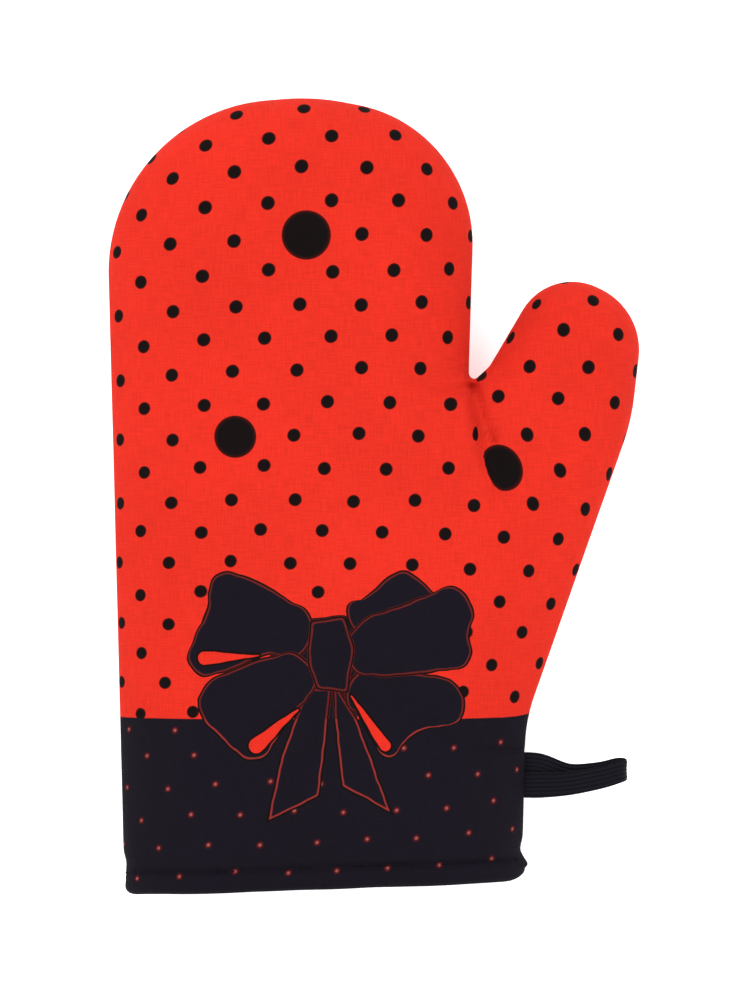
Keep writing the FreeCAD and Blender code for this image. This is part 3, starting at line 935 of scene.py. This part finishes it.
def ribbed_elastic():
    """Navy elastic tape: lengthwise ribs are in its shape, and fine wefts cross them."""
    material, do, shader = finished("ribbed_tape", 0.7, sheen=0.02)
    place = cloth_place(do)
    x, y = do.split(place)
    weft = do.maths("SINE", do.times(x, TURN / 0.55))
    rib = do.maths("COSINE", do.times(y, TURN / 1.45))
    grain = do.noise(place, 1.6, 3.0)
    woven_parts = (do.times(rib, 0.25), do.times(weft, 0.12))
    tint = do.total(*woven_parts, do.times(grain, 0.5), 0.1)
    dark_rib, light_rib = (0.0012, 0.0012, 0.0022, 1), (0.0085, 0.0085, 0.0150, 1)
    colour = do.mix(tint, dark_rib, light_rib)
    dress(do, shader, colour, do.total(do.times(weft, 0.4), grain), 0.5, 0.0002)
    return material


WEAVE = woven_group()
STROKE = stroke_group()
PRINTED_COTTON = printed_cotton(WEAVE, STROKE)
LINING_COTTON = plain_cotton(WEAVE)
WADDING_FLUFF = polyester_wadding()
BLACK_THREAD = twisted_thread("black_thread", (0.0022, 0.0018, 0.0032, 1), (0.0062, 0.0050, 0.0090, 1))
PALE_THREAD = twisted_thread("pale_thread", (0.45, 0.42, 0.36, 1), (0.75, 0.72, 0.66, 1))
TAPE = ribbed_elastic()


# ---- the pieces


def panel_plan(set_back, inset, rows):
    """Grid in plan, each station's way from the inset seam to the middle, and the seam's normals."""
    edges, normals, middles = stations(set_back)
    starts = edges + normals * inset
    shares = shares_in(rows)
    return starts[:, None] + (middles - starts)[:, None] * shares[:, None], normals


def cloth_panel(side, name, node, places, cloth, material, thickness):
    """A panel over a grid of places, given its cloth's thickness inwards."""
    faces = grid_faces(*places.shape[:2])
    if side > 0:
        faces = faces[:, ::-1]
    piece = make_piece(name, places, faces, "mitt", material, cloth, weld=WELD)
    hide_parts(node)
    wall = piece.modifiers.new("cloth_thickness", "SOLIDIFY")
    wall.thickness = thickness * MM
    wall.offset = -1.0


def shell_panel(side, name, node, face):
    """One shell panel: its crowned face, the seam allowance turned in along the seam, and at the mouth a
    round fold with the turning inside it.

    The grid's rows are the stations along the seam. Its columns go from the allowance's raw edge over the
    seam to the middle. Rows past the first and last station go round the fold, a half circle in the plane
    of the face's normal and its run, and back inside at the same distance under the face.
    """
    plan, normals = panel_plan(FOLD_ROUND, 0.0, ROWS)
    places, cloth = face.at(plan)
    seam = places[:, :1]
    reach = np.array((ALLOWANCE, 2.2, 0.9))[None, :, None]
    inward = np.concatenate([normals, np.zeros((len(normals), 1))], axis=1)[:, None]
    allowance = seam + inward * reach
    allowance[..., 2] = SEAM_HEIGHT + side * np.array((0.25, 0.25, 0.2))
    allowance_cloth = cloth[:, :1] - normals[:, None] * reach
    outward = normals_of(places, side)
    outward = np.concatenate([np.repeat(outward[:, 1:2], 3, axis=1), outward], axis=1)
    places = np.concatenate([allowance, places], axis=1)
    cloth = np.concatenate([allowance_cloth, cloth], axis=1)

    def lip(row, steps):
        """The fold and the turning beyond one end of the grid, from the face inwards."""
        out = unit(np.array((HEM_SLOPE, -1.0, 0.0)))
        normal = unit(outward[row] - out * (outward[row] @ out)[:, None])
        angles = np.linspace(0, math.pi, 10)[1:]
        centre = places[row] - normal * FOLD_ROUND
        arc = centre + FOLD_ROUND * (
            normal * np.cos(angles)[:, None, None] + out * np.sin(angles)[:, None, None]
        )
        depths = np.linspace(0, TURNING, 8)[1:, None, None]
        back = arc[-1] - out * depths
        drop = np.concatenate([angles * FOLD_ROUND, angles[-1] * FOLD_ROUND + depths.ravel()])
        way = unit(cloth[row] - cloth[row + steps])
        return np.concatenate([arc, back]), cloth[row] + way * drop[:, None, None]

    left, left_cloth = lip(0, 1)
    right, right_cloth = lip(-1, -1)
    places = np.concatenate([left[::-1], places, right])
    cloth = np.concatenate([left_cloth[::-1], cloth, right_cloth])
    places[..., 2] = np.clip(places[..., 2], 0.0, None)
    cloth_panel(side, name, node, places, cloth, PRINTED_COTTON, SHELL_CLOTH)


def lining_panel(side, name, node, filled):
    """One lining panel: the same crowned face, inside the wadding."""
    plan = panel_plan(3.0, LINING_INSET, 26)[0]
    places, cloth = Face(side, LINING_INSET, filled).at(plan)
    cloth_panel(side, name, node, places, cloth, LINING_COTTON, LINING_CLOTH)


def wadding_layer(side, name, node, filled):
    """Batting between shell and lining: an outer and an inner crowned face, joined round by the seam and
    across the mouth. The inner face's columns carry on from the outer face's, back to the middle."""
    outer = Face(side, 0.9, filled).at(panel_plan(4.0, 1.0, 24)[0])[0]
    inner = Face(side, LINING_INSET - 0.4, filled).at(panel_plan(4.0, LINING_INSET - 0.5, 24)[0])[0]
    places = np.concatenate([outer[:, ::-1], inner], axis=1)
    from_seam = np.maximum((places[..., 2] - SEAM_HEIGHT) * side, SEAM_CLEARANCE)
    places[..., 2] = SEAM_HEIGHT + side * from_seam
    rows, columns = places.shape[:2]
    faces = grid_faces(rows, columns)
    half = columns // 2
    near = np.arange(half - 1)
    far = columns - 1 - near
    first = np.stack([near, near + 1, far - 1, far], axis=1)
    last = first[:, ::-1] + (rows - 1) * columns
    faces = np.vstack([faces, first, last])
    if side < 0:
        faces = faces[:, ::-1]
    piece = make_piece(name, places, faces, "mitt", WADDING_FLUFF, weld=WELD)
    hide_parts(node)


def stitch_row(centres, ways, ups, length, radius):
    """Short stitches, each a capsule flattened where it dips: a circle carried along it whose radius falls
    to nothing at both ends."""
    shares = np.linspace(-1, 1, 6)
    ring = np.linspace(0, TURN, 7)[:-1]
    swell = np.sqrt(np.maximum(1 - shares**4, 0.02))
    sides = np.cross(ways, ups)
    along = centres[:, None] + ways[:, None] * (shares * length / 2)[:, None]
    along = along - ups[:, None] * (radius * 1.3 * shares**4)[:, None]
    round_about = ups[:, None, None] * np.cos(ring)[:, None] + sides[:, None, None] * np.sin(ring)[:, None]
    points = along[:, :, None] + round_about * (radius * swell)[:, None, None]
    one = grid_faces(6, 6, closed=True)
    caps = np.array([[0, 1, 2, 3], [0, 3, 4, 5]])
    one = np.vstack([one, caps, 30 + caps[:, ::-1]])
    faces = one + (np.arange(len(centres)) * 36)[:, None, None]
    return points.reshape(-1, 3), faces.reshape(-1, 4)


def rows_of(parts):
    """Several point and face sets as one."""
    points, faces, count = [], [], 0
    for some, their_faces in parts:
        points.append(some)
        faces.append(their_faces + count)
        count += len(some)
    return np.vstack(points), np.vstack(faces)


def at_pitch(line, pitch, reach):
    """Places along a line a pitch apart, and the line's directions there, each over twice the reach."""
    lengths = np.arange(2.0, length_along(line)[-1] - 2.0, pitch)
    ways = unit(at_lengths(line, lengths + reach) - at_lengths(line, lengths - reach))
    return at_lengths(line, lengths), ways


def hem_stitches(faces_of_mitt):
    """The row of lockstitches round the mouth, on both panels, in the groove that it presses."""
    parts = []
    for face in faces_of_mitt:
        share = np.linspace(-1, 1, 900)
        bowed = np.sign(share) * np.abs(share) ** 0.35
        low_x, high_x = seam_x_at(HEM_DEPTH)
        x = (low_x + high_x) / 2 + bowed * ((high_x - low_x) / 2 - 0.02)
        plan = np.column_stack([x, hem_edge(x) + HEM_DEPTH])
        centres, ways = at_pitch(face.at(plan)[0], 3.0, 0.5)
        ups = unit(np.cross(ways, np.array((0.0, 1.0, 0.0))))
        ups = ups * np.sign(ups[:, 2:]) * face.side
        parts.append(stitch_row(centres + ups * 0.12, ways, ups, 2.5, 0.24))
    points, faces = rows_of(parts)
    piece = make_piece("hem_topstitch_row", points, faces, "mitt", BLACK_THREAD)
    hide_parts("hem_topstitch")


def seam_x_at(depth):
    """The seam's x on the left and on the right, a depth in from the mouth's edge."""
    gaps = np.abs(SEAM[:, 1] - hem_edge(SEAM[:, 0]) - depth)
    half = len(SEAM) // 2
    return SEAM[gaps[:half].argmin(), 0], SEAM[half + gaps[half:].argmin(), 0]


def seam_stitches(name, node, inset, radius, pitch, material):
    """Lockstitches in the seam, along the outline and in from it."""
    kept = SEAM[:, 1] > hem_edge(SEAM[:, 0]) + 4.0
    line = SEAM[kept] + SEAM_NORMALS[kept] * inset
    line = np.column_stack([line, np.full(len(line), SEAM_HEIGHT)])
    centres, ways = at_pitch(line, pitch, 0.4)
    ups = np.tile((0.0, 0.0, 1.0), (len(centres), 1))
    points, faces = stitch_row(centres, ways, ups, pitch * 0.86, radius)
    piece = make_piece(name, points, faces, "mitt", material)
    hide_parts(node)


def hanging_tape():
    """The ribbed tape, sewn into the seam by both ends: out along the lower leg, round the fold and back.

    Its section is a flat oval with seven ribs across each face. It is carried along a soft line through
    the leg's middle, and its width follows the tape's.
    """
    low, high = (np.array(corner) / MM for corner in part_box("hanging_loop"))
    tail_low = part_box("loop_tails")[0][0] / MM
    root, tip = low[0], high[0]
    top, foot = high[1], low[1]
    out = tip - root
    middle = SEAM_HEIGHT
    legs = (
        (tail_low, top - 4.3, middle - 0.65, 4.2),
        (root - 1.0, top - 4.3, middle - 0.65, 4.2),
        (root + 0.14 * out, top - 4.9, middle - 0.9, 4.2),
        (root + 0.42 * out, top - 8.2, middle - 2.3, 4.0),
        (root + 0.72 * out, top - 7.6, middle - 2.9, 3.9),
        (tip - 3.2, top - 5.9, middle - 2.4, 3.7),
        (tip - 0.9, top - 5.9, middle - 0.9, 3.6),
        (tip - 0.9, top - 6.6, middle + 0.9, 3.6),
        (tip - 3.2, top - 7.2, middle + 2.6, 3.7),
        (root + 0.72 * out, top - 9.0, middle + 3.2, 3.9),
        (root + 0.42 * out, foot + 5.2, middle + 2.5, 4.1),
        (root + 0.14 * out, foot + 4.6, middle + 1.0, 4.5),
        (root - 1.0, foot + 4.6, middle + 0.65, 4.5),
        (tail_low, foot + 4.6, middle + 0.65, 4.5),
    )
    dense = soft_line(np.array(legs), np.linspace(0, 1, 400))
    along = length_along(dense[:, :3])
    steps = np.linspace(0, along[-1], 190)
    line = np.stack([np.interp(steps, along, column) for column in dense.T], axis=1)
    path, half_width = line[:, :3], line[:, 3]
    ways = unit(np.gradient(path, axis=0))
    across = unit(np.array((0.0, 1.0, 0.0)) - ways * ways[:, 1:2])
    ups = np.cross(ways, across)
    across_shares = np.linspace(-1, 1, 57)
    ribs = 0.42 + 0.16 * np.abs(np.cos(across_shares * math.pi * 3.0))
    ribs = ribs * np.sqrt(np.maximum(1 - across_shares**8, 0.05))
    profile = np.concatenate([
        np.column_stack([across_shares, ribs]),
        np.column_stack([across_shares[::-1], -ribs[::-1]]),
    ])
    places = (
        path[:, None]
        + across[:, None] * (profile[:, 0] * half_width[:, None])[..., None]
        + ups[:, None] * profile[:, 1][None, :, None]
    )
    rows, columns = places.shape[:2]
    faces = grid_faces(rows, columns, closed=True)
    half = np.arange(columns // 2 - 1)
    cap = np.stack([half, half + 1, columns - 2 - half, columns - 1 - half], axis=1)
    faces = np.vstack([faces, cap, (rows - 1) * columns + cap[:, ::-1]])
    uv = np.stack(np.broadcast_arrays(steps[:, None], profile[:, 0] * half_width[:, None]), axis=-1)
    piece = make_piece("hanging_loop_tape", places, faces, None, TAPE, uv)
    fix_outside(piece)
    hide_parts("hanging_loop", "loop_tails")
    return piece, root


def fix_outside(piece):
    """Turns a closed mesh's faces outwards."""
    work = bmesh.new()
    work.from_mesh(piece.data)
    bmesh.ops.recalc_face_normals(work, faces=work.faces)
    work.to_mesh(piece.data)
    work.free()


def bar_tack():
    """A close zigzag of thread through the tape's ends and both seam allowances."""
    low, high = (np.array(corner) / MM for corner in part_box("loop_bar_tack"))
    count = 36
    y = np.linspace(low[1] + 0.3, high[1] - 0.3, count)
    z = np.where(np.arange(count) % 2 == 0, low[2] + 0.25, high[2] - 0.25)
    turns = np.column_stack([np.full(count, (low[0] + high[0]) / 2), y, z])
    line = at_lengths(turns, np.linspace(0, length_along(turns)[-1], count * 6))
    ways = unit(np.gradient(line, axis=0))
    sides = np.tile((1.0, 0.0, 0.0), (len(line), 1))
    ups = np.cross(ways, sides)
    ring = np.linspace(0, TURN, 9)[:-1]
    places = line[:, None] + 0.2 * (
        sides[:, None] * np.cos(ring)[:, None] + ups[:, None] * np.sin(ring)[:, None]
    )
    faces = grid_faces(len(line), 8, closed=True)
    caps = np.array([[0, 1, 2, 3], [0, 3, 4, 7], [4, 5, 6, 7]])
    faces = np.vstack([faces, caps, (len(line) - 1) * 8 + caps[:, ::-1]])
    piece = make_piece("loop_bar_tack_stitches", places, faces, "mitt", BLACK_THREAD)
    fix_outside(piece)
    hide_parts("loop_bar_tack")


filled = blow_up(FILL_LIMIT)
back_face = Face(1, 0.0, filled)
palm_face = Face(-1, 0.0, filled)
wadding_layer(1, "wadding_back_piece", "wadding_back", filled)
wadding_layer(-1, "wadding_palm_piece", "wadding_palm", filled)
shell_panel(1, "shell_back_panel", "shell_back", back_face)
shell_panel(-1, "shell_palm_panel", "shell_palm", palm_face)
lining_panel(1, "lining_back_panel", "lining_back", filled)
lining_panel(-1, "lining_palm_panel", "lining_palm", filled)
hem_stitches((back_face, palm_face))
seam_stitches("shell_seam_row", "shell_seam_thread", 1.6, 0.22, 2.6, BLACK_THREAD)
seam_stitches("lining_seam_row", "lining_seam_thread", LINING_INSET + 0.3, 0.15, 3.0, PALE_THREAD)
bar_tack()
tape, root = hanging_tape()
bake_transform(tape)


# ---- floor, light and camera


def studio():
    """A pale floor, even soft light from above, and a camera looking straight down."""
    floor_mesh = bpy.data.meshes.new("studio_floor")
    far = 3.0
    corners = [(-far, -far, 0), (far, -far, 0), (far, far, 0), (-far, far, 0)]
    floor_mesh.from_pydata(corners, [], [(0, 1, 2, 3)])
    floor = placed("studio_floor", floor_mesh)
    floor.location.z = -0.0004
    paper, do, shader = finished("studio_paper", 0.9)
    grain = do.noise(object_place(do), 0.05, 2.0)
    do.feed(shader.inputs["Base Color"], do.mix(grain, (0.93, 0.93, 0.93, 1), (0.95, 0.95, 0.95, 1)))
    shader.inputs["Emission Color"].default_value = (1.0, 1.0, 1.0, 1.0)
    shader.inputs["Emission Strength"].default_value = 0.5
    floor_mesh.materials.append(paper)

    world = bpy.data.worlds.new("studio_air")
    bpy.context.scene.world = world
    world.use_nodes = True
    background = world.node_tree.nodes["Background"]
    background.inputs[0].default_value = (1.0, 1.0, 1.0, 1.0)
    background.inputs[1].default_value = 1.08

    for name, place, size, power in (
        ("soft_box_left", (-0.55, 0.45, 1.15), 1.0, 10.0),
        ("soft_box_right", (0.75, -0.2, 1.05), 1.0, 5.4),
    ):
        light = bpy.data.lights.new(name, "AREA")
        light.shape = "SQUARE"
        light.size = size
        light.energy = power
        lamp = placed(name, light)
        lamp.location = place
        aim = -np.array(place)
        lamp.rotation_euler = (
            math.acos(-aim[2] / np.linalg.norm(aim)),
            0.0,
            math.atan2(aim[1], aim[0]) - math.pi / 2,
        )

    camera = bpy.data.cameras.new("overhead")
    camera.lens = 200.0
    camera.sensor_width = 36.0
    camera.sensor_fit = "AUTO"
    seat = placed("overhead", camera)
    seat.location = (-0.0016, -0.0011, (SEAM_HEIGHT + CAMERA_RISE) * MM)
    camera.clip_end = 20.0
    bpy.context.scene.camera = seat
    bpy.context.scene.view_settings.view_transform = "Standard"


studio()
